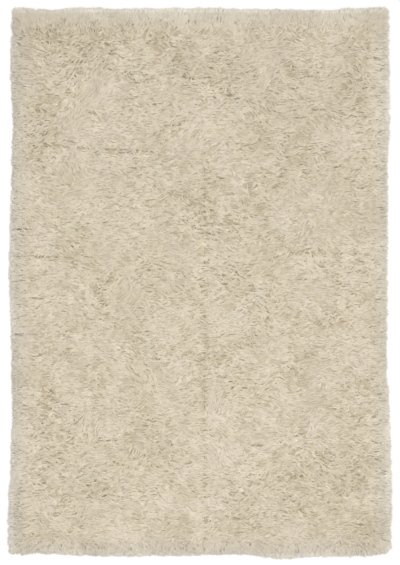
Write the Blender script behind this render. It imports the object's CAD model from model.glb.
"""Shag rug of long undyed wool, lying on a pale floor and seen from straight above.

The pile is four coats of pointed locks over matted roots: a wide undercoat, a coat along the rim, the top
coat in wisps of three, and a few long strays. Each lock is a flat three-sided profile carried along its
own bent path. Metres, in the frame's axes. A shade is in steps, each 3% brighter than the one below.
"""

from collections import namedtuple

import bpy
import numpy as np
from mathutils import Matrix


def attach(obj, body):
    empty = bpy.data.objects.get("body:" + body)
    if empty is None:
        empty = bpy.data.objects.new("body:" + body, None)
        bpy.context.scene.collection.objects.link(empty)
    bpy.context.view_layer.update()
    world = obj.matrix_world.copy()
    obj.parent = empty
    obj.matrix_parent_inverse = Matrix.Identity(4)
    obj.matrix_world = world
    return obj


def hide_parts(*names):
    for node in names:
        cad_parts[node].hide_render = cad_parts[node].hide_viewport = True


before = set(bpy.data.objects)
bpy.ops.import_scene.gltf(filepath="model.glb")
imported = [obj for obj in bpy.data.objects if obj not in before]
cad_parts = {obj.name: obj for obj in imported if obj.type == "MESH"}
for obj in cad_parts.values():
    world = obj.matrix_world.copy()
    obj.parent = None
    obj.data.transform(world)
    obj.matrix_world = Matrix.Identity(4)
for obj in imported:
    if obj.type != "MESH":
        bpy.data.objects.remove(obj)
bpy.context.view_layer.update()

# The rug, seen from above
WIDTH = 1.59  # mean size along X, from lock tip to lock tip
LENGTH = 2.30  # mean size along Y
HALF = np.array((WIDTH, LENGTH)) / 2
CORNER_RADII = ((0.006, 0.030), (0.014, 0.021))  # near left and right, then far left and right
CORNER_LIMIT = 1.2  # how far past the middle of a corner's circle a point counts, in radii
RIM = 0.034  # how far in from the outline the woven ground ends
FLEECE_RIM = 0.022  # how far in from the outline the matted roots end

# The rug, seen from the side
PILE_HEIGHT = 0.040  # mean height of the lying pile
EDGE_HEIGHT = 0.002  # of the pile at its outline
SHOULDER = 0.110  # how far in from the outline the pile reaches its full height
FULLNESS = 0.8  # power of the shoulder's curve: the lower, the fuller
CLOTH_THICK = 0.0025  # of the woven ground
CLOTH_STEP, FLEECE_STEP = 0.080, 0.027  # cells of the grids for the woven ground and the matted fleece
FLEECE_DEPTH = 0.0020  # how far the matted fleece lies under the pile's top where it is smooth
FLEECE_LOOSE = 0.0020  # how much deeper it lies where the pile is tousled
FLEECE_LEAST = 0.0005  # thickness that it keeps over the woven ground
FLEECE_SINKS = ((RIM, 0.030, 0.38), (FLEECE_RIM, 0.012, 0.25))  # at its rim: (from, within, share)

# Soft noise, as rows of (cell along X, cell along Y, strength either way, seed, cells each way of the
# lattice)
LUMPS = (  # of the pile's height
    (0.190, 0.120, 0.0035, 11, 96),
    (0.085, 0.060, 0.0045, 12, 96),
    (0.046, 0.036, 0.0060, 13, 96),
)
DRIFTS = (  # how far combing has pushed the pile along Y
    (0.200, 0.150, 0.040, 31, 96),
    (0.075, 0.060, 0.013, 32, 96),
    (0.034, 0.030, 0.0050, 34, 160),
)
LEAST_STRETCH = 0.25  # how close that may press the pile together along Y
TOUSLES = (  # how tousled it is
    (0.130, 0.170, 0.40, 41, 96),
    (0.052, 0.062, 0.45, 42, 96),
)
TONES = (  # shade of the wisps
    (0.040, 0.032, 1.1, 35, 160),
    (0.090, 0.130, 1.4, 36, 96),
    (0.058, 0.080, 1.6, 37, 96),
)
LEANS = ((0.170, 0.130, 0.75, 33, 96),)  # which of the two ways along the flow the wisps mostly lie
ROWS = ((0.0150, 0.0105, 1.0, 38, 240),)  # crests and dips from one row of locks to the next
DASHES = ((0.024, 0.024, 1.15, 62, 160),)  # how far a crease opens along its length
SIDE_TUFTS = ((1.0, 0.021, 0.0030, 61, 160),)  # how far the long edges stand out or draw in
END_TUFTS = ((0.021, 1.0, 0.0030, 62, 160),)  # the same for the short edges

# Powers by which an edge's shift and its tufts fade towards the middle of the rug
EDGE_FADE, SIDE_TUFT_FADE, END_TUFT_FADE = 4, 24, 36

# Old fold lines that the pile still shows as troughs:
# (start x, start y, end x, end y, depth, half width)
MIDDLE_FOLD_X, MIDDLE_FOLD_END = 0.019, 0.56
FOLDS = (
    (MIDDLE_FOLD_X, MIDDLE_FOLD_END, MIDDLE_FOLD_X, -1.12, 0.0060, 0.030),
    (-0.77, 0.575, -0.15, 0.545, 0.0060, 0.028),
    (0.38, 0.125, 0.70, 0.120, 0.0050, 0.026),
    (-0.78, 0.110, -0.52, 0.105, 0.0045, 0.026),
    (-0.77, -0.640, -0.30, -0.665, 0.0055, 0.028),
)
FOLD_BOTTOM = (0.006, -1.3)  # half width, and how much darker
FOLD_BANK = (0.024, 0.010, 1.2)  # how far from the fold, half width, and how much paler
PARTING_REACH, PARTING_LEAN = 0.045, 1.2  # how far and how strongly the middle fold parts the pile

# How far each edge stands out of its mean line: (y, left edge, right edge)
LONG_EDGES = (
    (-1.15, 0.012, 0.009),
    (-0.95, 0.010, 0.012),
    (-0.75, 0.001, 0.009),
    (-0.55, -0.008, 0.004),
    (-0.35, -0.003, -0.009),
    (-0.15, 0.000, -0.008),
    (0.05, 0.007, -0.006),
    (0.25, 0.003, -0.005),
    (0.45, -0.004, -0.006),
    (0.65, -0.008, 0.002),
    (0.85, 0.000, 0.002),
    (1.15, -0.005, 0.000),
)

# The same for the short edges: (x, near edge, far edge)
SHORT_EDGES = (
    (-0.80, -0.005, 0.006),
    (-0.65, -0.010, -0.004),
    (-0.50, -0.002, 0.004),
    (-0.30, 0.002, 0.000),
    (-0.05, -0.002, 0.002),
    (0.15, -0.008, 0.001),
    (0.35, 0.012, -0.004),
    (0.50, 0.005, -0.007),
    (0.65, 0.001, 0.002),
    (0.80, -0.006, 0.007),
)

# Where the pile lies smooth (lift below 0) or tousled (above 0), apart from the soft noise of it:
# (x, y, half size along X, half size along Y, lift)
PATCHES = (
    (-0.535, 0.690, 0.055, 0.080, -1.2),
    (-0.560, 0.460, 0.075, 0.065, -0.8),
    (0.005, 0.610, 0.045, 0.050, -0.8),
    (0.076, -0.516, 0.055, 0.060, -1.1),
    (0.076, -0.726, 0.055, 0.060, -1.0),
    (-0.440, 0.250, 0.070, 0.060, -0.1),
    (0.560, 0.560, 0.080, 0.060, -0.1),
    (-0.394, 0.916, 0.060, 0.035, 0.8),
    (-0.300, 0.866, 0.060, 0.035, 0.8),
    (-0.441, 0.706, 0.050, 0.035, 0.6),
    (-0.268, 0.714, 0.060, 0.040, 0.6),
    (-0.609, 1.029, 0.060, 0.030, 0.6),
    (-0.499, 1.021, 0.060, 0.030, 0.6),
    (0.050, 0.245, 0.080, 0.035, 0.8),
    (0.135, 0.273, 0.050, 0.035, 0.6),
    (0.110, 0.010, 0.080, 0.040, 1.0),
    (-0.140, 0.030, 0.070, 0.080, 0.6),
    (0.362, -0.709, 0.060, 0.035, 0.4),
    (0.492, -0.722, 0.060, 0.035, 0.4),
    (0.651, -0.785, 0.050, 0.060, 0.3),
    (0.366, -0.831, 0.060, 0.035, 0.7),
    (0.420, -0.974, 0.070, 0.035, 0.6),
    (0.680, -1.060, 0.070, 0.050, 0.8),
)
TOUSLE_MEAN = 0.42  # from 0, smooth, to 1, tousled
FOLD_TOUSLE = 60  # how much more tousled the pile is for each metre of a fold's depth
TURN_TOUSLE = -0.4  # how much that changes where the pile lies turned

# The widest partings of the pile, where its roots show: (middle x, middle y, half length, degrees)
PARTINGS = (
    (-0.688, 1.059, 0.022, 0),
    (-0.629, 1.034, 0.018, -8),
    (0.244, 1.063, 0.026, 10),
    (0.320, 1.072, 0.022, -15),
    (-0.537, 0.992, 0.018, 0),
    (0.710, 0.992, 0.040, -18),
    (0.072, 0.962, 0.022, 15),
    (-0.369, 0.954, 0.020, 0),
    (0.719, 0.937, 0.027, 0),
    (-0.390, 0.916, 0.018, -40),
    (0.311, 0.925, 0.036, 0),
    (-0.285, 0.870, 0.030, -15),
    (0.064, 0.853, 0.036, -5),
    (0.706, 0.815, 0.025, -8),
    (0.383, 0.811, 0.036, 12),
    (0.181, 0.761, 0.034, -22),
    (-0.676, 0.719, 0.024, 0),
    (-0.277, 0.723, 0.018, 0),
    (0.500, 0.723, 0.034, 0),
    (-0.445, 0.706, 0.024, -10),
    (0.421, 0.689, 0.034, 0),
    (-0.111, 0.656, 0.038, 0),
    (-0.545, 0.589, 0.034, -14),
    (-0.365, 0.584, 0.025, 0),
    (-0.623, 0.570, 0.027, 0),
    (-0.319, 0.542, 0.020, 0),
    (0.374, 0.429, 0.038, 0),
    (-0.550, 0.408, 0.036, 0),
    (0.673, 0.395, 0.025, 0),
    (0.135, 0.370, 0.034, 8),
    (0.673, 0.286, 0.020, -20),
    (-0.426, 0.248, 0.050, 5),
    (-0.745, 0.223, 0.040, 0),
    (0.372, 0.108, 0.031, 0),
    (0.475, 0.112, 0.046, 2),
    (0.605, 0.118, 0.050, 0),
    (0.425, 0.013, 0.060, 4),
    (-0.671, -0.067, 0.034, -5),
    (-0.373, -0.100, 0.025, -10),
    (0.756, -0.193, 0.030, -15),
    (-0.747, -0.218, 0.045, 0),
    (0.118, -0.218, 0.028, 0),
    (0.484, -0.230, 0.025, 10),
    (-0.176, -0.319, 0.020, 0),
    (-0.205, -0.432, 0.027, 0),
    (0.185, -0.541, 0.027, 0),
    (0.723, -0.562, 0.027, -35),
    (-0.222, -0.650, 0.024, 12),
    (0.303, -0.650, 0.036, -8),
    (0.731, -0.671, 0.028, -25),
    (0.240, -0.680, 0.027, 0),
    (0.723, -0.734, 0.025, -40),
    (-0.344, -0.755, 0.030, -20),
)

# Where the pile lies turned off its usual way: (x, y, half size along X, half size along Y, degrees)
TURNS = (
    (-0.420, 0.830, 0.070, 0.060, 75),
    (0.275, 0.870, 0.045, 0.070, 80),
    (-0.535, 0.690, 0.050, 0.075, 70),
    (0.520, 0.660, 0.055, 0.055, -65),
    (0.005, 0.610, 0.045, 0.050, 70),
    (-0.560, 0.460, 0.070, 0.065, -60),
    (0.538, 0.370, 0.022, 0.060, 80),
    (0.433, 0.214, 0.022, 0.070, 80),
    (0.140, 0.420, 0.024, 0.060, -80),
    (-0.300, -0.040, 0.040, 0.060, 60),
    (-0.190, -0.400, 0.060, 0.060, -60),
    (0.280, -0.330, 0.022, 0.110, 75),
    (-0.460, -0.600, 0.050, 0.060, 75),
    (0.076, -0.516, 0.055, 0.060, 70),
    (0.076, -0.726, 0.055, 0.060, -70),
    (0.470, -0.600, 0.022, 0.060, 80),
)

# Where the pile changes towards the outline, by how far in that reaches
RIM_ZONE = 0.12  # the locks lie down and out over the rim
THIN_ZONE = 0.09  # their wool is thin and pale
TIDY_ZONE = 0.11  # they are less tousled
BORDER_ZONE = 0.030  # near the edge of the woven ground, some lie low
SIDE_TURN, FAR_TURN, NEAR_TURN, CORNER_TURN = 0.20, 0.17, 0.11, 0.09  # the flow turns outwards
SIDE_PULL, END_PULL, CORNER_PULL = 0.8, 2.0, 1.5  # how strongly it does
END_GRIP = 0.9  # how much of its own way along X it loses at the ends
CALM_FAR, CALM_NEAR, CALM_LEFT = (1.0, 0.15), (0.6, 0.10), (0.3, 0.12)  # calmer: (how much, reach)
RIGHT_SHADE, RIGHT_ZONE = -5.0, 0.14  # darker by up to this at the right edge
END_SHADE, END_ZONE = 2.0, 0.075  # paler at both ends
CORNER_SHADE, CORNER_ZONE = -3.2, (0.20, 0.26)  # darker at the corners, along X and Y

# A coat of the pile, as:
# - pitch: spacing of its wisps along X and Y
# - locks: how many there are in a wisp
# - reach: a lock's length, seen from above
# - width: of a lock
# - lift: how far it lies above the pile's mean top
# - lowest: the lowest share of that height that a lock may lie at by the rim
# - root: the share of it that a lock's root starts at
# - parted: how strongly the middle fold parts the coat
# - shade: how many steps paler or darker it is
# - stations: along a lock, from its root, 0, to its tip, 1
Coat = namedtuple("Coat", "pitch locks reach width lift lowest root parted shade stations")
UNDERCOAT = Coat((0.0186, 0.0152), 2, 0.038, 0.0112, -0.0010, 0.5, 0.5, 0.3, -0.5, (0.0, 0.45, 1.0))
RIM_COAT = Coat((0.00080, 0.00080), 1, 0.026, 0.0050, 0.0, 0.05, 0.2, 0.0, 0.0, (0.0, 0.38, 0.82, 1.0))
TOPCOAT = Coat((0.0189, 0.0168), 3, 0.046, 0.0060, 0.0004, 0.9, 0.5, 0.8, 0.0, (0.0, 0.30, 0.63, 1.0))
STRAYS = Coat((0.046, 0.034), 1, 0.062, 0.0042, 0.0022, 0.9, 0.5, 0.9, 1.2, (0.0, 0.25, 0.5, 0.75, 1.0))

# How strongly something varies: where the pile lies smooth, where it is tousled, and the shares of that
# which it loses at the rim and where the pile is calmed
Spread = namedtuple("Spread", "smooth tousled rim calm")
WISP_SWERVE = Spread(0.09, 0.35, 0.3, 0.5)  # how far a wisp turns off the flow, in radians
WISP_CURL = Spread(0.13, 0.45, 0.6, 0.5)  # how far it has turned further by its tip
WISP_LEVEL = Spread(0.0003, 0.0017, 0.6, 0.0)  # how far it lies above or below its coat
WISP_SHADE = Spread(0.72, 1.44, 0.4, 0.7)  # how much paler or darker it is than its coat
WISP_GATHER = Spread(0.1, 0.4, 0.8, 0.0)  # how far its locks lean together
LOCK_LEVEL = Spread(0.0004, 0.0018, 0.6, 0.0)  # how far a lock lies above or below its wisp
LOCK_SHADE = Spread(0.175, 0.49, 0.5, 0.0)  # how much paler or darker it is than its wisp
ROW_HEIGHT = Spread(0.0010, 0.0010, 0.7, 1.0)  # how far the rows of locks crest
ROW_SHADE = Spread(1.5, 3.0, 0.7, 1.0)  # how much paler they are on their crests

# A wisp and its locks
GATHERING = (0.2, 1.0)  # range of how far the locks of a wisp lean together
IN_CELL = (0.1, 0.9)  # where a wisp may stand in its cell, and a lock in its share of the wisp
UNEVEN = (0.75, 1.25)  # range of the wisps' lengths and of the locks' widths
WISP_WIDE, WISP_LONG = 1.15, 0.55  # spread of its roots across it, and either way along it, in pitches
LOCK_SWERVE = 0.10  # how far a lock turns off its wisp, and how far it waves, in radians
LOCK_RUNS = (0.86, 1.08)  # range of its length against its wisp's
ROOT_CROWDING = 1.2  # power by which the stations crowd towards the root
RISEN = 0.5  # how far along a lock it has climbed to its full height
LOWEST_TOP, LOWEST_SKIN = 0.0012, 0.0006  # least height of a lock's path, once risen, and of its skin
THIN_LEVELS = 0.25  # the least share of its level that a lock keeps where the pile is thin
RIM_EXTRA_REACH = 0.034  # how much further a lock reaches where it lies down over the rim
RIM_ROOT = 0.6  # how much lower its root starts there
RIM_THIN, CALM_WIDE = 0.4, 0.5  # how much narrower a lock is at the rim, and wider where it is calmed
LOW_SHADE = 4.0  # how much paler the lowest locks of the rim are
CALM_SHADE = -1.5  # how much darker the calmed pile is
TRIM, TRIM_TAIL = (-0.0065, 0.0005), 0.0012  # how far inside the outline tips end, and mean extra
LEAST_REACH = 0.05  # share of its way that a lock keeps at the outline
EDGE_DEPTH = 0.065  # how far inside the ground's edge the rim coat is rooted
EDGE_CROWDING = 1.3  # power by which its roots crowd towards that edge
ROLL = 0.25  # how far a lock may roll about its path, in radians
LOCK_FLATNESS = 0.30  # thickness of a lock as a share of its width
PROFILE_RADIUS = 0.58  # of its three-sided profile, as a share of its width
TAPER_AT, TAPER = (0, 0.4, 1), (0.35, 1.0, 0.6)  # its width at these places, before the tip
UNDERSIDE = 1 / 3  # how far round it the underside goes
SOFTENING = 0.68  # how far loose fibre evens out the shading of one lock against the next
RIM_SOFTENING, CALM_SOFTENING = -0.13, 0.25  # how much that changes at the rim and where calmed

# The slits that the pile opens in
SLIT_CELL = (0.034, 0.0195)  # one slit at most stands in each cell of this lattice
SLIT_LONG, SLIT_WIDE = 0.0145, 0.0028  # half the length and width of a slit
SLIT_LONGER = (0.6, 1.2)  # the shortest, and how much more the longest has, as shares of that
SLIT_RIM_LONGER = 0.8  # how much longer slits are at the rim
SLIT_SIDEWAYS = 0.9  # share of the flow along Y that they follow
SLIT_TURN = 0.42  # how far they turn off it, in radians
SLIT_CLOSED = -0.65  # lowest draw for how far a slit opens: below 0 it stays closed
SLIT_OFTEN = (0.2, 1.1, 0.15)  # how far slits open: anywhere, more where tousled, and more at the rim
SLIT_CLEAR = 0.045  # how far inside the ground's edge they start to close
SLIT_STATIONS = (0.0, 0.5, 1.0)  # along the matted roots that show in a slit
SLIT_SHADE, SLIT_ROOTS_WIDE = -14.0, 2.4  # of those roots, and their width against the slit's half
SLIT_SHOWN = 0.3  # how far open a slit has to be to show them
SLIT_ROOTS_LIFT = 0.0015  # how far above the fleece they lie
SLIT_DEPTH = 0.0030  # how far the pile sinks at a slit
SLIT_BOTTOM = 0.0015  # half width of that
OPEN_SHADE = -2.4  # of the pile there
CREST_AWAY, CREST_WIDE = 0.004, 0.003  # the crest beside a slit: how far off, and its half width
CREST_HEIGHT, CREST_SHADE = 0.0012, 1.0  # how much higher and paler it is
CREASE_WIDE, CREASE_MEAN = 1.35, 0.62  # a crease against a slit, and how far open it is in the mean

SLIT_SEED, PILE_SEED = 71, 5  # of the random draws for the slits, and for the locks
BANDS = 6  # pieces that the pile is kept in, along the rug's length
AROUND_SHARE = 0.98  # how much of 1 the way round a lock takes up on its UV map
BAKE_COLUMNS, BAKE_MARGINS = 32, (0.04, 0.06)  # cells of the bake in a row, and clear room in each
TINY = 1e-6  # keeps a division clear of 0


def ease(t):
    """Runs smoothly from 0 to 1: 3 t^2 - 2 t^3."""
    return t * t * (3 - 2 * t)


def bell(distance, half_width):
    """1 at a distance of 0, falling off as e to the minus square of the distance in half widths."""
    return np.exp(-((distance / half_width) ** 2))


def oval(x, y, middle_x, middle_y, half_x, half_y):
    """1 at the middle of an oval patch, falling off as a bell of this half size each way."""
    return np.exp(-(((x - middle_x) / half_x) ** 2) - ((y - middle_y) / half_y) ** 2)


def nearness(distance, reach):
    """1 at a distance of 0, falling smoothly to 0 at this reach."""
    return ease(np.clip(1 - distance / reach, 0, 1))


def unit(v):
    """Vectors divided by their own lengths."""
    return v / np.maximum(np.linalg.norm(v, axis=-1, keepdims=True), TINY)


def soft_noise(x, y, rows):
    """Random heights on a lattice of cells, eased from each point to the next, times a strength: the sum
    of that over the rows of a table."""
    total = 0.0
    for cell_x, cell_y, strength, seed, cells in rows:
        lattice = np.random.default_rng(seed).uniform(-1, 1, (cells, cells))
        u, v = x / cell_x + cells / 2, y / cell_y + cells / 2
        i, j = np.floor(u).astype(int), np.floor(v).astype(int)
        along, up = ease(u - i), ease(v - j)
        near = lattice[i, j] * (1 - along) + lattice[i + 1, j] * along
        far = lattice[i, j + 1] * (1 - along) + lattice[i + 1, j + 1] * along
        total = total + strength * (near * (1 - up) + far * up)
    return total


def edge_out(table, column, at):
    """An edge's distance out of its mean line, eased between the stations of its table."""
    stations = np.array([row[0] for row in table])
    values = np.array([row[column] for row in table])
    at = np.clip(at, stations[0], stations[-1])
    i = np.clip(np.searchsorted(stations, at) - 1, 0, len(stations) - 2)
    t = ease((at - stations[i]) / (stations[i + 1] - stations[i]))
    return values[i] * (1 - t) + values[i + 1] * t


def pulled_in(past, past_other):
    """How far a square corner's point is pulled in along one axis, in radii, to lie on a quarter circle:
    a (1 - root of (1 - b^2 / 2)), where a and b are how far past the circle's middle it lies each way."""
    return past * (1 - np.sqrt(1 - np.minimum(past_other, CORNER_LIMIT) ** 2 / 2))


def outlined(x, y):
    """Takes a point of the plain rectangle to the rug's outline: a square corner is pulled in to a
    quarter circle, and the outer part shifts by what its edge and each tuft there stand out."""
    radius = np.array(CORNER_RADII)[(y > 0).astype(int), (x > 0).astype(int)]
    a = np.maximum(np.abs(x) - (HALF[0] - radius), 0) / radius
    b = np.maximum(np.abs(y) - (HALF[1] - radius), 0) / radius
    side_x, side_y = np.abs(x / HALF[0]), np.abs(y / HALF[1])
    out_x = np.where(x < 0, -edge_out(LONG_EDGES, 1, y), edge_out(LONG_EDGES, 2, y))
    out_y = np.where(y < 0, -edge_out(SHORT_EDGES, 1, x), edge_out(SHORT_EDGES, 2, x))
    tuft_x = soft_noise(np.sign(x), y, SIDE_TUFTS) * side_x**SIDE_TUFT_FADE
    tuft_y = soft_noise(x, np.sign(y), END_TUFTS) * side_y**END_TUFT_FADE
    return (
        x - np.sign(x) * radius * pulled_in(a, b) + out_x * side_x**EDGE_FADE + tuft_x,
        y - np.sign(y) * radius * pulled_in(b, a) + out_y * side_y**EDGE_FADE + tuft_y,
    )


def from_edge(x, y):
    """How far in from the plain rectangle's nearest edge a point lies."""
    return np.minimum(HALF[0] - np.abs(x), HALF[1] - np.abs(y))


def away_from(x, y, fold):
    """How far a point lies from a fold line, seen from above."""
    x0, y0, x1, y1, *_ = fold
    run = (x1 - x0) ** 2 + (y1 - y0) ** 2
    t = np.clip(((x - x0) * (x1 - x0) + (y - y0) * (y1 - y0)) / run, 0, 1)
    return np.hypot(x - x0 - t * (x1 - x0), y - y0 - t * (y1 - y0))


def trough(x, y, fold):
    """How far an old fold line sinks the pile: its depth along the line, falling off as a bell."""
    *_, depth, half_width = fold
    return depth * bell(away_from(x, y, fold), half_width)


def fold_shade(x, y):
    """How much a fold darkens the pile along its bottom, and brightens it along both its banks: a bell
    for each."""
    away = np.min([away_from(x, y, fold) for fold in FOLDS], axis=0)
    bottom_wide, bottom_shade = FOLD_BOTTOM
    bank_away, bank_wide, bank_shade = FOLD_BANK
    return bank_shade * bell(away - bank_away, bank_wide) + bottom_shade * bell(away, bottom_wide)


def edge_shade(x, y, part):
    """How the shade changes towards the outline: darker by part of the full amount at the right edge,
    paler at both ends, and darker at the corners."""
    in_x, in_y = HALF[0] - np.abs(x), HALF[1] - np.abs(y)
    right = RIGHT_SHADE * part * nearness(HALF[0] - x, RIGHT_ZONE)
    corner = CORNER_SHADE * nearness(in_x, CORNER_ZONE[0]) * nearness(in_y, CORNER_ZONE[1])
    return right + END_SHADE * nearness(in_y, END_ZONE) + corner


def pile_top(x, y):
    """Height of the pile: a rounded shoulder up from the outline, then lumps and old folds."""
    in_x = np.clip(1 - (HALF[0] - np.abs(x)) / SHOULDER, 0, 1)
    in_y = np.clip(1 - (HALF[1] - np.abs(y)) / SHOULDER, 0, 1)
    rise = ((1 - in_x**2) * (1 - in_y**2)) ** FULLNESS
    relief = soft_noise(x, y, LUMPS) - sum(trough(x, y, fold) for fold in FOLDS)
    return EDGE_HEIGHT + (PILE_HEIGHT - EDGE_HEIGHT) * rise + relief * rise


def pile_normal(x, y):
    """Upward normal of the pile's top, from its slopes over 6 mm, with none steeper than 1 in 1."""
    step = 0.003
    slope_x = (pile_top(x + step, y) - pile_top(x - step, y)) / (2 * step)
    slope_y = (pile_top(x, y + step) - pile_top(x, y - step)) / (2 * step)
    slopes = np.stack((slope_x, slope_y), -1)
    slopes /= np.maximum(np.linalg.norm(slopes, axis=-1, keepdims=True), 1)
    return unit(np.concatenate((-slopes, np.ones_like(slopes[..., :1])), -1))


def calmed(x, y):
    """How much calmer the pile lies: most towards the far end, where it is combed straight out, and a
    little towards the near end and the left edge."""
    edges = ((HALF[1] - y, *CALM_FAR), (HALF[1] + y, *CALM_NEAR), (HALF[0] + x, *CALM_LEFT))
    return np.max([amount * nearness(inside, reach) for inside, amount, reach in edges], axis=0)


def tousle(x, y):
    """How tousled the pile is, from 0, combed smooth, to 1, in separate wisps: soft noise, the patches of
    the table, more along the old folds, less where the pile lies turned, and none at the rim."""
    amount = TOUSLE_MEAN + soft_noise(x, y, TOUSLES)
    amount += FOLD_TOUSLE * sum(trough(x, y, fold) for fold in FOLDS)
    amount += sum(lift * oval(x, y, *patch) for *patch, lift in PATCHES)
    amount += TURN_TOUSLE * sum(oval(x, y, *patch) for *patch, _ in TURNS)
    return np.clip(amount, 0, 1) * (1 - nearness(from_edge(x, y), TIDY_ZONE))


def varied(spread, loose, rim, calm):
    """How strongly something varies at a point, by how tousled, near the rim and calmed it lies there."""
    amount = spread.smooth + (spread.tousled - spread.smooth) * loose
    return amount * (1 - spread.rim * rim) * (1 - spread.calm * calm)


def flow(x, y, way):
    """Which way the pile lies, as a vector, where way is 1 or -1 for each point. In the field it follows
    the lines that the drift leaves level, and near the rim it turns outwards."""
    step = 0.002
    slope = -(soft_noise(x + step, y, DRIFTS) - soft_noise(x - step, y, DRIFTS)) / (2 * step)
    stretch = 1 + (soft_noise(x, y + step, DRIFTS) - soft_noise(x, y - step, DRIFTS)) / (2 * step)
    angle = np.arctan2(slope, np.maximum(stretch, LEAST_STRETCH))
    in_x, in_y = HALF[0] - np.abs(x), HALF[1] - np.abs(y)
    near_x = nearness(in_x, SIDE_TURN)
    near_y = nearness(in_y, np.where(y > 0, FAR_TURN, NEAR_TURN))
    pull_x = SIDE_PULL * near_x + CORNER_PULL * nearness(in_x, CORNER_TURN) * near_y
    flow_x = way * np.cos(angle) * (1 - END_GRIP * near_y) + np.sign(x) * pull_x
    flow_y = way * np.sin(angle) * (1 - near_x) + np.sign(y) * END_PULL * near_y
    turn = sum(np.radians(turn) * oval(x, y, *patch) for *patch, turn in TURNS)
    cos, sin = np.cos(turn), np.sin(turn)
    return flow_x * cos - flow_y * sin, flow_x * sin + flow_y * cos


def which_way(x, y, parted, rng):
    """Which of the two ways along the flow each wisp lies, as 1 or -1: mostly outwards near the long
    edges, and away from the middle fold beside it."""
    near_x = nearness(HALF[0] - np.abs(x), SIDE_TURN)
    lean = soft_noise(x, y, LEANS) * (1 - near_x) + np.sign(x) * near_x
    from_fold = x - MIDDLE_FOLD_X
    parting = parted * nearness(np.abs(from_fold), PARTING_REACH) * (y < MIDDLE_FOLD_END)
    lean = lean * (1 - parting) + PARTING_LEAN * np.sign(from_fold) * parting
    return np.where(rng.uniform(-1, 1, x.shape) < lean, 1.0, -1.0)


def follow(x, y, way, swerve, run):
    """Paths from x, y that follow the flow, each turned off it by its swerve at every station. run is how
    far along a path each station lies."""
    px, py = [x], [y]
    for k in range(1, run.shape[-1]):
        flow_x, flow_y = flow(px[-1], py[-1], way)
        angle = np.arctan2(flow_y, flow_x) + swerve[..., k : k + 1]
        step = run[..., k : k + 1] - run[..., k - 1 : k]
        px.append(px[-1] + step * np.cos(angle))
        py.append(py[-1] + step * np.sin(angle))
    return np.concatenate(px, -1), np.concatenate(py, -1)


def make_slits():
    """The slits in the pile, as a lattice of (middle x, y, cosine and sine of its way, half length, half
    width). Each runs along the flow, turned a little at random. How far it opens is the root of one
    random draw, and its length grows as the cube of another. Most are open where the pile is tousled,
    they are longer at the rim, and they close towards the outline and where the pile is calmed."""
    rng = np.random.default_rng(SLIT_SEED)
    nx, ny = (int(np.ceil(HALF[axis] / SLIT_CELL[axis])) + 2 for axis in (0, 1))
    i, j = np.meshgrid(np.arange(-nx, nx), np.arange(-ny, ny), indexing="ij")
    x = (i + rng.uniform(*IN_CELL, i.shape)) * SLIT_CELL[0]
    y = (j + rng.uniform(*IN_CELL, j.shape)) * SLIT_CELL[1]
    flow_x, flow_y = flow(x, y, np.sign(x))
    way = np.arctan2(SLIT_SIDEWAYS * flow_y, flow_x) + rng.normal(0, SLIT_TURN, i.shape)
    inside = from_edge(x, y)
    rim = nearness(inside, RIM_ZONE)
    anywhere, more_tousled, more_at_rim = SLIT_OFTEN
    often = anywhere + more_tousled * tousle(x, y) + more_at_rim * rim
    open_here = np.clip(rng.uniform(SLIT_CLOSED, 1, i.shape), 0, 1) ** 0.5 * often
    open_here *= (1 - nearness(inside - RIM, SLIT_CLEAR)) * (1 - calmed(x, y))
    shortest, longer = SLIT_LONGER
    long = SLIT_LONG * (shortest + longer * rng.uniform(0, 1, i.shape) ** 3) * (1 + SLIT_RIM_LONGER * rim)
    return np.stack((x, y, np.cos(way), np.sin(way), long, SLIT_WIDE * open_here), -1)


def creases():
    """The folds and wide partings as slits: (middle x, y, cosine and sine of the way, half length)."""
    lines = []
    for x0, y0, x1, y1, *_ in FOLDS:
        run_x, run_y = x1 - x0, y1 - y0
        lines.append(((x0 + x1) / 2, (y0 + y1) / 2, np.arctan2(run_y, run_x), np.hypot(run_x, run_y) / 2))
    lines += [(x, y, np.radians(degrees), long) for x, y, long, degrees in PARTINGS]
    return [(x, y, np.cos(way), np.sin(way), long) for x, y, way, long in lines]


def crease_bits():
    """The creases cut into bits of the slits' length, each a slit of its own at full width."""
    rows = []
    for x, y, cos, sin, long in creases():
        bits = max(1, round(long / SLIT_LONG))
        at = ((np.arange(bits) + 0.5) / bits * 2 - 1) * long
        row = (x + cos * at, y + sin * at, cos, sin, long / bits, SLIT_WIDE)
        rows.append(np.stack(np.broadcast_arrays(*row), -1))
    return np.concatenate(rows)


def slit_roots(slits, rng):
    """The matted roots that show at the bottom of each open slit: one flat lock along it, just over the
    fleece, as grow_locks gives its own."""
    shown = np.concatenate((slits[slits[..., 5] > SLIT_SHOWN * SLIT_WIDE], crease_bits()))
    shown = shown[from_edge(shown[:, 0], shown[:, 1]) > RIM]
    x, y, cos, sin, long, wide = shown.T[..., None]
    at = long * (2 * np.array(SLIT_STATIONS) - 1)
    px, py = x + cos * at, y + sin * at
    pz = fleece_top(px, py) + SLIT_ROOTS_LIFT
    shade = SLIT_SHADE + rng.normal(0, 1, px.shape)
    return np.stack((px, py, pz), -1), SLIT_ROOTS_WIDE * wide[:, 0], shade


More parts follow.
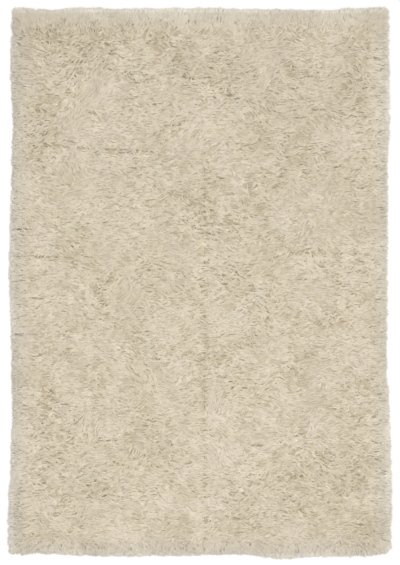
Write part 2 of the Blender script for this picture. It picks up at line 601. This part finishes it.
def part_at(x, y, slit, clear):
    """How far a slit moves a point, along X and Y, how open the pile is there, and how far it crests
    beside the slit, both from 0 to 1.

    The half width h that a slit opens to falls off as a bell along its length. A point at a distance c
    beside its middle line moves straight out from it, to the root of c^2 + h^2."""
    middle_x, middle_y, cos, sin, long, wide = slit
    along = (x - middle_x) * cos + (y - middle_y) * sin
    beside = (y - middle_y) * cos - (x - middle_x) * sin
    open_here = wide / SLIT_WIDE * bell(along, long)
    half = (SLIT_WIDE + clear) * open_here
    push = np.where(beside < 0, -1, 1) * (np.hypot(beside, half) - np.abs(beside))
    crest = open_here * bell(np.abs(beside) - CREST_AWAY, CREST_WIDE)
    return -push * sin, push * cos, open_here * bell(beside, SLIT_BOTTOM), crest


def part_pile(x, y, slits, clear):
    """Moves points out of the slits and creases near them, and as far again as clear, half a lock's
    width. Also how open the pile is at each, and how far it crests there, by the slit that does most."""
    nx, ny = slits.shape[0] // 2, slits.shape[1] // 2
    i = np.floor(x / SLIT_CELL[0]).astype(int) + nx
    j = np.floor(y / SLIT_CELL[1]).astype(int) + ny
    near = [
        np.moveaxis(slits[np.clip(i + di, 0, 2 * nx - 1), np.clip(j + dj, 0, 2 * ny - 1)], -1, 0)
        for di in (-1, 0, 1)
        for dj in (-1, 0, 1)
    ]
    wide = CREASE_WIDE * SLIT_WIDE * np.clip(CREASE_MEAN + soft_noise(x, y, DASHES), 0, 1)
    near += [(*crease, wide) for crease in creases()]
    moved_x, moved_y, open_most, crest_most = x, y, 0.0, 0.0
    for slit in near:
        push_x, push_y, open_here, crest = part_at(x, y, slit, clear)
        moved_x = moved_x + push_x
        moved_y = moved_y + push_y
        open_most = np.maximum(open_most, open_here)
        crest_most = np.maximum(crest_most, crest)
    return moved_x, moved_y, open_most, crest_most


def sown(coat, rng):
    """Points over the woven ground, on a grid of the coat's pitch, each moved at random in its cell."""
    reach = HALF - RIM
    nx, ny = np.round(reach * 2 / coat.pitch).astype(int)
    i, j = np.meshgrid(np.arange(nx), np.arange(ny))
    x = (i + rng.uniform(*IN_CELL, i.shape)) / nx * 2 - 1
    y = (j + rng.uniform(*IN_CELL, j.shape)) / ny * 2 - 1
    return x.ravel() * reach[0], y.ravel() * reach[1]


def edged(coat, rng):
    """Points at random along the four sides of the woven ground, one for each pitch of the coat, up to
    65 mm inside it and densest at it."""
    reach, pitch = HALF - RIM, coat.pitch[0]
    around = np.arange(0, 4 * reach.sum(), pitch)
    starts = np.concatenate(((0,), np.cumsum(2 * reach[[0, 1, 0]])))
    side = np.searchsorted(starts[1:], around, side="right")
    along = around - starts[side] + rng.uniform(-pitch, pitch, around.shape)
    inside = rng.uniform(0, 1, around.shape) ** EDGE_CROWDING * EDGE_DEPTH
    level = side % 2 == 0
    x = np.where(level, along - reach[0], np.where(side == 1, 1, -1) * (reach[0] - inside))
    y = np.where(level, np.where(side == 0, -1, 1) * (reach[1] - inside), along - reach[1])
    return np.clip(x, -reach[0], reach[0]), np.clip(y, -reach[1], reach[1])


def held_in(x, y, go_x, go_y, rng):
    """The share of its way that a lock can go before its tip meets the outline, less an uneven trim."""
    trim = rng.uniform(*TRIM, x.shape) + rng.exponential(TRIM_TAIL, x.shape)
    share = np.ones(x.shape)
    for at, go, half in ((x, go_x, HALF[0]), (y, go_y, HALF[1])):
        room = half - trim - at * np.sign(go)
        share = np.minimum(share, room / np.maximum(np.abs(go), TINY))
    return np.clip(share, LEAST_REACH, 1)


def grow_locks(x, y, coat, slits, rng):
    """One coat's locks: their paths as (lock, station, xyz), each one's width, and the shade at each
    station. A wisp stands at each point x, y.

    The locks of a wisp stand in a row across it. Each follows the flow, with a swerve and a curl of its
    wisp and a little of its own, and gathers towards the wisp's middle. Its height climbs as a sine from
    its root to the pile's top there, or near the rim to a share of it that is the root of a random draw.
    The slits part it from its neighbours. Its shade is its coat's, its wisp's and its own, paler on the
    crests of the rows and beside a slit, and darker in a slit."""
    x, y = x[:, None, None], y[:, None, None]
    one, many = x.shape, (len(x), coat.locks, 1)
    rim = nearness(from_edge(x, y), RIM_ZONE)
    loose, calm = tousle(x, y), calmed(x, y)
    way = which_way(x, y, coat.parted, rng)
    swerve = rng.normal(0, 1, one) * varied(WISP_SWERVE, loose, rim, calm)
    curl = rng.normal(0, 1, one) * varied(WISP_CURL, loose, rim, calm)
    reach = coat.reach * rng.uniform(*UNEVEN, one) + RIM_EXTRA_REACH * rim
    level = coat.lift + rng.uniform(-1, 1, one) * varied(WISP_LEVEL, loose, rim, calm)
    shade = rng.normal(0, 1, one) * varied(WISP_SHADE, loose, rim, calm)
    shade = shade + soft_noise(x, y, TONES) + edge_shade(x, y, rng.uniform(0, 1, one))
    gather = rng.uniform(*GATHERING, one) * varied(WISP_GATHER, loose, rim, calm)
    flow_x, flow_y = flow(x, y, way)
    heading = np.arctan2(flow_y, flow_x)

    # Its locks, seen from above
    s = np.array(coat.stations)
    place = (np.arange(coat.locks)[:, None] + rng.uniform(*IN_CELL, many)) / coat.locks - 0.5
    beside = WISP_WIDE * coat.pitch[1] * place
    ahead = coat.pitch[0] * rng.uniform(-WISP_LONG, WISP_LONG, many)
    off_x = ahead * np.cos(heading) - beside * np.sin(heading)
    off_y = ahead * np.sin(heading) + beside * np.cos(heading)
    turn, wave = rng.normal(0, LOCK_SWERVE, many), rng.normal(0, LOCK_SWERVE, many)
    own = turn + wave * np.sin(2 * np.pi * s)
    run = reach * rng.uniform(*LOCK_RUNS, many) * s**ROOT_CROWDING
    px, py = follow(x + off_x, y + off_y, way, swerve + own + curl * s, run)
    go_x = px - x - off_x * (1 + gather * s)
    go_y = py - y - off_y * (1 + gather * s)
    kept = held_in(x + off_x, y + off_y, go_x[..., -1:], go_y[..., -1:], rng)
    px, py = x + off_x + go_x * kept, y + off_y + go_y * kept
    px, py, open_here, crest = part_pile(px, py, slits, coat.width / 2)

    # Their heights
    row = soft_noise(px, py, ROWS)
    level = level + rng.uniform(-1, 1, many) * varied(LOCK_LEVEL, loose, rim, calm)
    level = level + row * varied(ROW_HEIGHT, loose, rim, calm)
    top = pile_top(px, py)
    top = top + level * np.clip(top / PILE_HEIGHT, THIN_LEVELS, 1)
    top = top - SLIT_DEPTH * open_here + CREST_HEIGHT * crest
    lowest = 1 - (1 - coat.lowest) * nearness(from_edge(x, y) - RIM, BORDER_ZONE)
    height = lowest + (1 - lowest) * np.sqrt(rng.uniform(0, 1, many))
    root = coat.root * (1 - RIM_ROOT * rim)
    rise = root + (1 - root) * np.sin(np.pi / 2 * np.clip(s / RISEN, 0, 1))
    pz = np.maximum(top * height, LOWEST_TOP) * rise

    # Their widths and shades
    width = coat.width * rng.uniform(*UNEVEN, many) * (1 - RIM_THIN * rim + CALM_WIDE * calm)
    shade = shade + coat.shade * (1 - rim) + rng.normal(0, 1, many) * varied(LOCK_SHADE, loose, rim, calm)
    shade = shade + row * varied(ROW_SHADE, loose, rim, calm) + fold_shade(px, py)
    shade = shade + CREST_SHADE * crest + OPEN_SHADE * open_here + CALM_SHADE * calmed(px, py)
    shade = shade + LOW_SHADE * (1 + calm) * (1 - height) * rim
    paths = np.stack((px, py, pz), -1).reshape(-1, len(s), 3)
    return paths, width.ravel(), shade.reshape(-1, len(s))


def swept(paths, width, roll, stations):
    """The skin of each lock: a flat triangle carried along its path, narrowing to a point.

    At each station the profile's corners are the path's point plus a cosine of its width along the side
    vector and a sine of its thickness along the upward one. Three points to a ring, then the tip."""
    taper = np.interp(stations[:-1], TAPER_AT, TAPER)
    ahead = unit(np.gradient(paths, axis=1))[:, :-1]
    side = unit(np.cross(ahead, (0.0, 0.0, 1.0)) + TINY)
    up = np.cross(side, ahead)
    angle = roll[:, None, None] + np.radians((330, 210, 90))
    size = (width[:, None] * taper * PROFILE_RADIUS)[..., None, None]
    across = np.cos(angle)[..., None] * side[:, :, None] * size
    raised = np.sin(angle)[..., None] * up[:, :, None] * size * LOCK_FLATNESS
    rings = paths[:, :-1, None] + across + raised
    return np.concatenate((rings.reshape(len(paths), -1, 3), paths[:, -1:]), 1)


def lock_faces(stations):
    """One lock's faces over its points: the root's end, quads between the rings, and the tip. Also each
    face corner's place along the lock and round it, both from 0 to 1. The first third of the way round
    is its underside."""
    rings = len(stations) - 1
    faces, along, around = [(2, 1, 0)], [(0, 0, 0)], [(0.3, 0.2, 0.1)]
    for r in range(rings):
        for c in range(3):
            a, b = 3 * r + c, 3 * r + (c + 1) % 3
            if r < rings - 1:
                faces.append((a, b, b + 3, a + 3))
                along.append((r, r, r + 1, r + 1))
                around.append((c / 3, (c + 1) / 3, (c + 1) / 3, c / 3))
            else:
                faces.append((a, b, 3 * rings))
                along.append((r, r, r + 1))
                around.append((c / 3, (c + 1) / 3, (c + 0.5) / 3))
    sizes = np.array([len(face) for face in faces])
    return np.concatenate(faces), sizes, np.array(stations)[np.concatenate(along)], np.concatenate(around)


def face_middle(values, sizes):
    """Each face's mean of a value at its corners."""
    return np.add.reduceat(values, np.cumsum(sizes) - sizes) / sizes


def solid(name, points, corners, sizes):
    """A mesh object from its points, its faces' corners in one row, and each face's corner count."""
    mesh = bpy.data.meshes.new(name)
    mesh.vertices.add(len(points))
    mesh.vertices.foreach_set("co", np.asarray(points, np.float32).ravel())
    mesh.loops.add(len(corners))
    mesh.loops.foreach_set("vertex_index", np.asarray(corners, np.int32))
    mesh.polygons.add(len(sizes))
    mesh.polygons.foreach_set("loop_start", (np.cumsum(sizes) - sizes).astype(np.int32))
    mesh.update(calc_edges=True)
    mesh.shade_smooth()
    made = bpy.data.objects.new(name, mesh)
    bpy.context.scene.collection.objects.link(made)
    return made


def set_attribute(mesh, name, values):
    """Gives each point of a mesh a number that its material reads by this name."""
    layer = mesh.attributes.new(name, "FLOAT", "POINT")
    layer.data.foreach_set("value", values.astype(np.float32))


def set_uv(mesh, name, u, v):
    """Gives each face corner of a mesh its place on a UV map of this name."""
    layer = mesh.uv_layers.new(name=name)
    layer.uv.foreach_set("vector", np.stack((u, v), -1).astype(np.float32).ravel())


def coat_parts(paths, width, shade, stations, rng):
    """A coat as arrays: points (lock, point, xyz), shades (lock, point), and its faces' template."""
    skins = swept(paths, width, rng.uniform(-ROLL, ROLL, len(paths)), stations)
    skins[..., 0], skins[..., 1] = outlined(skins[..., 0], skins[..., 1])
    skins[..., 2] = np.maximum(skins[..., 2], LOWEST_SKIN)
    shades = np.repeat(shade, [3] * (len(stations) - 1) + [1], axis=1)
    return skins, shades, lock_faces(stations)


def map_locks(mesh, along, around, lock, count):
    """Two UV maps from each face corner's place along its lock and round it. "lock" adds the lock's
    number to the place round it, which stays under 1. "OFBake" gives each lock a cell of its own, with
    clear room round it, in rows from the first lock on."""
    set_uv(mesh, "lock", along, around * AROUND_SHARE + lock)
    rows = np.ceil(count / BAKE_COLUMNS)
    u, v = (clear + (1 - 2 * clear) * at for clear, at in zip(BAKE_MARGINS, (along, around)))
    set_uv(mesh, "OFBake", (lock % BAKE_COLUMNS + u) / BAKE_COLUMNS, (lock // BAKE_COLUMNS + v) / rows)


def soften(mesh, x, y, corners, under):
    """Leans each face corner's normal from its own towards the pile's, as loose fibre evens out the
    light: their mean, weighted by the softening. On a lock's underside it is the pile's, turned down."""
    own = np.empty(len(mesh.vertices) * 3, np.float32)
    mesh.vertex_normals.foreach_get("vector", own)
    weight = SOFTENING + RIM_SOFTENING * nearness(from_edge(x, y), RIM_ZONE)
    weight += CALM_SOFTENING * calmed(x, y)
    upward = pile_normal(x, y)
    soft = unit(own.reshape(-1, 3) * (1 - weight[:, None]) + upward * weight[:, None])
    mesh.normals_split_custom_set(np.where(under[:, None], -upward[corners], soft[corners]))


def pile_band(name, coats):
    """One band of the pile as a mesh: the locks of its coats, each coat as from coat_parts."""
    points, corners, sizes, places, shades = [], [], [], [], []
    first, number = 0, 0
    for skins, shade, (face_corners, face_sizes, along, around) in coats:
        count, each = skins.shape[:2]
        index = np.arange(count)[:, None]
        points.append(skins.reshape(-1, 3))
        shades.append(shade.ravel())
        corners.append((first + index * each + face_corners).ravel())
        sizes.append(np.tile(face_sizes, count))
        number_here = np.broadcast_to(number + index, (count, len(along)))
        places.append(np.stack(np.broadcast_arrays(along, around, number_here), -1).reshape(-1, 3))
        first += count * each
        number += count
    points, corners, sizes = np.concatenate(points), np.concatenate(corners), np.concatenate(sizes)
    made = solid(name, points, corners, sizes)
    along, around, lock = np.concatenate(places).T
    x, y, _ = points.T
    map_locks(made.data, along, around, lock, number)
    set_attribute(made.data, "shade", np.concatenate(shades))
    set_attribute(made.data, "tousle", tousle(x, y))
    set_attribute(made.data, "rim", nearness(from_edge(x, y), THIN_ZONE))
    soften(made.data, x, y, corners, np.repeat(face_middle(around, sizes) < UNDERSIDE, sizes))
    return made


def slab(name, inset, low, high, step):
    """A closed lumpy sheet up to this inset from the outline, from height low(x, y) to high(x, y), on a
    grid of this step."""
    reach = HALF - inset
    nx, ny = (reach * 2 / step).astype(int)
    x, y = np.meshgrid(np.linspace(-reach[0], reach[0], nx), np.linspace(-reach[1], reach[1], ny))
    real_x, real_y = outlined(x, y)
    top = np.stack((real_x, real_y, high(x, y)), -1).reshape(-1, 3)
    base = np.stack((real_x, real_y, low(x, y)), -1).reshape(-1, 3)
    index = np.arange(nx * ny).reshape(ny, nx)
    a, b, c, d = index[:-1, :-1], index[:-1, 1:], index[1:, 1:], index[1:, :-1]
    upper = np.stack((a, b, c, d), -1).reshape(-1, 4)
    lower = upper[:, ::-1] + nx * ny
    ring = np.concatenate((index[0, :-1], index[:-1, -1], index[-1, :0:-1], index[:0:-1, 0]))
    after = np.roll(ring, -1)
    wall = np.stack((ring, ring + nx * ny, after + nx * ny, after), -1)
    faces = np.concatenate((upper, lower, wall))
    made = solid(name, np.concatenate((top, base)), faces.ravel(), np.full(len(faces), 4))
    set_attribute(made.data, "tousle", np.tile(tousle(x, y).ravel(), 2))
    set_attribute(made.data, "rim", np.tile(nearness(from_edge(x, y), RIM_ZONE).ravel(), 2))
    return made


def srgb(code):
    """A colour's hex code as linear red, green, blue and alpha."""
    part = np.array([int(code[i : i + 2], 16) for i in (1, 3, 5)]) / 255
    linear = np.where(part <= 0.04045, part / 12.92, ((part + 0.055) / 1.055) ** 2.4)
    return (*linear, 1.0)


def add(tree, kind, settings=None, links=None, stops=()):
    """Adds a node. settings has its properties, and its sockets' values by name or number. links has what
    feeds its sockets. stops are a colour ramp's, each a position from 0 to 1 and an sRGB code."""
    node = tree.nodes.new(kind)
    for name, value in (settings or {}).items():
        if hasattr(node, str(name)):
            setattr(node, name, value)
        else:
            node.inputs[name].default_value = value
    for name, source in (links or {}).items():
        tree.links.new(source, node.inputs[name])
    for _ in stops[2:]:
        node.color_ramp.elements.new(0.5)
    for k, (position, code) in enumerate(stops):
        element = node.color_ramp.elements[k]
        element.position, element.color = position, srgb(code)
    return node


def material(name):
    """A new material, its node tree and its shader."""
    made = bpy.data.materials.new(name)
    made.use_nodes = True
    return made, made.node_tree, made.node_tree.nodes["Principled BSDF"]


def finish(tree, shader, colour, bump, roughness):
    """Feeds the shader its colour and bump, and sets how matt it is."""
    tree.links.new(colour, shader.inputs["Base Color"])
    tree.links.new(bump, shader.inputs["Normal"])
    shader.inputs["Roughness"].default_value = roughness


def combed_wool():
    """Undyed sheep's wool, spun loose and combed out. To the eye it is a warm matt cream with a faint
    sheen and soft streaks of fibre along each lock, more tan at the roots and where it is tousled, and
    paler at the rim. Its darker locks are also the warmer ones.

    Real wool fibres are far too fine to show, so the streaks are drawn coarser: 26 round a lock, which
    makes them about a third of a millimetre wide on one of 6 mm."""
    made, tree, shader = material("combed_wool")
    uv = add(tree, "ShaderNodeUVMap", {"uv_map": "lock"})
    place = add(tree, "ShaderNodeSeparateXYZ", links={"Vector": uv.outputs[0]})
    along = {"Fac": place.outputs[0]}
    tousled = add(tree, "ShaderNodeAttribute", {"attribute_name": "tousle"}).outputs["Fac"]
    thin = add(tree, "ShaderNodeAttribute", {"attribute_name": "rim"}).outputs["Fac"]
    shade = add(tree, "ShaderNodeAttribute", {"attribute_name": "shade"}).outputs["Fac"]

    smooth_stops = ((0.10, "#C8BBA1"), (0.50, "#D6CAB3"), (0.90, "#DACFBD"))
    smooth = add(tree, "ShaderNodeValToRGB", links=along, stops=smooth_stops)
    ruffled_stops = ((0.10, "#BFB193"), (0.50, "#CFC3A9"), (0.90, "#D8CDB9"))
    ruffled = add(tree, "ShaderNodeValToRGB", links=along, stops=ruffled_stops)
    mixed = {0: tousled, 6: smooth.outputs[0], 7: ruffled.outputs[0]}
    field = add(tree, "ShaderNodeMix", {"data_type": "RGBA"}, mixed)
    thin_stops = ((0.85, "#D6CDBC"), (0.985, "#E5DDCE"))
    thinning = add(tree, "ShaderNodeValToRGB", links={"Fac": thin}, stops=thin_stops)
    mixed = {0: thin, 6: field.outputs[2], 7: thinning.outputs[0]}
    tone = add(tree, "ShaderNodeMix", {"data_type": "RGBA"}, mixed)

    brighter = {"operation": "MULTIPLY_ADD", 1: 0.03, 2: 1.0}
    lift = add(tree, "ShaderNodeMath", brighter, {0: shade})
    cooler = {"operation": "MULTIPLY_ADD", 1: -0.025, 2: 1.0}
    warmth = add(tree, "ShaderNodeMath", cooler, {0: shade})
    shading = {"Saturation": warmth.outputs[0], "Value": lift.outputs[0], "Color": tone.outputs[2]}
    shaded = add(tree, "ShaderNodeHueSaturation", links=shading)

    stretch = add(tree, "ShaderNodeMapping", {"Scale": (2.2, 26.0, 1.0)}, {"Vector": uv.outputs[0]})
    fibre_look = {"Scale": 1.0, "Detail": 4.0, "Roughness": 0.68, "Distortion": 0.25}
    fibre = add(tree, "ShaderNodeTexNoise", fibre_look, {"Vector": stretch.outputs[0]})
    contrast = {"From Min": 0.32, "From Max": 0.68, "To Min": 0.64, "To Max": 1.31}
    streak = add(tree, "ShaderNodeMapRange", contrast, {"Value": fibre.outputs[0]})
    streaking = {"Value": streak.outputs[0], "Color": shaded.outputs[0]}
    streaked = add(tree, "ShaderNodeHueSaturation", links=streaking)
    bump = add(tree, "ShaderNodeBump", {"Strength": 1.0, "Distance": 0.001}, {"Height": fibre.outputs[0]})
    finish(tree, shader, streaked.outputs[0], bump.outputs[0], 0.9)
    shader.inputs["Sheen Weight"].default_value = 0.15
    shader.inputs["Sheen Roughness"].default_value = 0.5
    return made


def felted_wool():
    """The matted roots of the pile: felted wool, dull and fully matt. To the eye it is nearly as pale as
    the pile where that lies smooth, and tan where it stands open. Its coarse streaks are matted fibre
    that lies mostly across the rug, about 20 mm long and 6 mm wide."""
    made, tree, shader = material("felted_wool")
    place = add(tree, "ShaderNodeTexCoord").outputs["Object"]
    tousled = add(tree, "ShaderNodeAttribute", {"attribute_name": "tousle"}).outputs["Fac"]
    thin = add(tree, "ShaderNodeAttribute", {"attribute_name": "rim"}).outputs["Fac"]
    stops = ((0.15, "#C5B8A0"), (0.85, "#BBAD93"))
    field = add(tree, "ShaderNodeValToRGB", links={"Fac": tousled}, stops=stops)
    pale = {"data_type": "RGBA", 7: srgb("#DCD2C0")}
    tone = add(tree, "ShaderNodeMix", pale, {0: thin, 6: field.outputs[0]})
    stretch = add(tree, "ShaderNodeMapping", {"Scale": (50.0, 170.0, 100.0)}, {"Vector": place})
    fibre_look = {"Scale": 1.0, "Detail": 6.0, "Roughness": 0.75, "Distortion": 1.2}
    fibre = add(tree, "ShaderNodeTexNoise", fibre_look, {"Vector": stretch.outputs[0]})
    contrast = {"From Min": 0.3, "From Max": 0.7, "To Min": 0.84, "To Max": 1.10}
    streak = add(tree, "ShaderNodeMapRange", contrast, {"Value": fibre.outputs[0]})
    streaking = {"Value": streak.outputs[0], "Color": tone.outputs[2]}
    streaked = add(tree, "ShaderNodeHueSaturation", links=streaking)
    bump = add(tree, "ShaderNodeBump", {"Strength": 0.8, "Distance": 0.002}, {"Height": fibre.outputs[0]})
    finish(tree, shader, streaked.outputs[0], bump.outputs[0], 0.95)
    return made


def plain_weave():
    """The ground cloth: plain-woven wool yarn. To the eye it is a matt cream check of threads over and
    under each other, about 6 mm from one to the next, with tan between them."""
    made, tree, shader = material("plain_weave")
    place = {"Vector": add(tree, "ShaderNodeTexCoord").outputs["Object"]}
    threads = {"Scale": 50.0, "Distortion": 1.5, "Detail": 2.0}
    warp = add(tree, "ShaderNodeTexWave", threads, place)
    weft = add(tree, "ShaderNodeTexWave", {**threads, "bands_direction": "Y"}, place)
    crossed = {0: warp.outputs["Fac"], 1: weft.outputs["Fac"]}
    cross = add(tree, "ShaderNodeMath", {"operation": "MULTIPLY"}, crossed).outputs[0]
    stops = ((0.0, "#B5A688"), (1.0, "#DCD0B6"))
    tone = add(tree, "ShaderNodeValToRGB", links={"Fac": cross}, stops=stops)
    bump = add(tree, "ShaderNodeBump", {"Strength": 0.8, "Distance": 0.001}, {"Height": cross})
    finish(tree, shader, tone.outputs[0], bump.outputs[0], 0.95)
    return made


def matt_paint():
    """The floor's matt white paint: plain, and a little warm."""
    made, _, shader = material("matt_white_paint")
    shader.inputs["Base Color"].default_value = srgb("#F7F7F5")
    shader.inputs["Roughness"].default_value = 0.9
    return made


def band_of(paths):
    """The number of the band that each lock is rooted in."""
    return np.clip(((paths[:, 0, 1] / HALF[1] + 1) / 2 * BANDS).astype(int), 0, BANDS - 1)


def make_pile():
    """All the locks, centred in the model's box and kept in bands along the rug's length."""
    rng = np.random.default_rng(PILE_SEED)
    wool = combed_wool()
    slits = make_slits()
    coats = []
    for coat, sow in ((UNDERCOAT, sown), (RIM_COAT, edged), (TOPCOAT, sown), (STRAYS, sown)):
        paths, width, shade = grow_locks(*sow(coat, rng), coat, slits, rng)
        coats.append((*coat_parts(paths, width, shade, coat.stations, rng), band_of(paths)))
    paths, width, shade = slit_roots(slits, rng)
    coats.append((*coat_parts(paths, width, shade, SLIT_STATIONS, rng), band_of(paths)))
    low = np.min([skins[..., :2].min((0, 1)) for skins, *_ in coats], 0)
    high = np.max([skins[..., :2].max((0, 1)) for skins, *_ in coats], 0)
    for skins, *_ in coats:
        skins[..., :2] -= (low + high) / 2
    bands = []
    for k in range(BANDS):
        here = [(skins[band == k], shades[band == k], faces) for skins, shades, faces, band in coats]
        made = pile_band(f"wool_pile_{k + 1}", here)
        made.data.materials.append(wool)
        bands.append(made)
    return bands


def fleece_top(x, y):
    """The matted roots' top: a little under the pile where it is smooth, deeper where it is tousled, and
    sinking by a share of its height towards its rim."""
    top = pile_top(x, y) - FLEECE_DEPTH - FLEECE_LOOSE * tousle(x, y)
    inside = from_edge(x, y)
    top *= 1 - sum(share * nearness(inside - start, within) for start, within, share in FLEECE_SINKS)
    return np.maximum(top, CLOTH_THICK + FLEECE_LEAST)


def make_ground():
    """The woven ground that the tufts are knotted into, and their matted roots on it."""
    cloth = slab("ground_cloth", RIM, lambda x, y: 0 * x, lambda x, y: 0 * x + CLOTH_THICK, CLOTH_STEP)
    cloth.data.materials.append(plain_weave())
    roots = slab("felted_roots", FLEECE_RIM, lambda x, y: 0 * x + CLOTH_THICK, fleece_top, FLEECE_STEP)
    roots.data.materials.append(felted_wool())
    return cloth, roots


def make_floor():
    """A plain square floor of 60 m, 1 mm under the rug, as the stage."""
    half, under = 30, -0.001
    corners = [(-half, -half, under), (half, -half, under), (half, half, under), (-half, half, under)]
    floor = solid("floor", corners, range(4), [4])
    floor.data.materials.append(matt_paint())


def hang(name, kind):
    """A new lamp of this kind, and the object that holds it."""
    light = bpy.data.lights.new(name, kind)
    held = bpy.data.objects.new(name, light)
    bpy.context.scene.collection.objects.link(held)
    return light, held


def light_room():
    """A white room with soft light from all round, a broad sun from the far right and a soft panel over
    the rug's near half."""
    sun, held = hang("window_light", "SUN")
    sun.energy, sun.angle = 0.95, np.radians(50)
    held.rotation_euler = (np.radians(-8), np.radians(28), 0)
    panel, held = hang("soft_panel", "AREA")
    panel.size, panel.energy = 1.3, 5.0
    held.location = (0.05, -0.45, 2.0)
    world = bpy.data.worlds.new("room")
    world.use_nodes = True
    sky = world.node_tree.nodes["Background"].inputs
    sky["Color"].default_value = (1, 1, 1, 1)
    sky["Strength"].default_value = 0.84
    bpy.context.scene.world = world
    bpy.context.scene.view_settings.view_transform = "Standard"


def place_camera():
    """Straight above the rug, where a pixel of the 400 x 565 picture is 4.2 mm at the rim's height, 5 mm
    over the floor. The lens is the sensor's width times the distance over the picture's height."""
    height, rim_height, pixel, pixels_high = 6.5, 0.005, 0.0042, 565
    lens = bpy.data.cameras.new("camera")
    lens.sensor_width = 36
    lens.lens = lens.sensor_width * height / (pixels_high * pixel)
    camera = bpy.data.objects.new("camera", lens)
    camera.location = (0.15 * pixel, 0.65 * pixel, height + rim_height)
    bpy.context.scene.collection.objects.link(camera)
    bpy.context.scene.camera = camera


def main():
    """Makes the rug, whose pieces ride on its one body and stand for its one solid, and its room."""
    bands = make_pile()
    cloth, roots = make_ground()
    for piece in (*bands, cloth, roots):
        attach(piece, "root")
        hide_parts("shag_pile")
    make_floor()
    light_room()
    place_camera()


main()
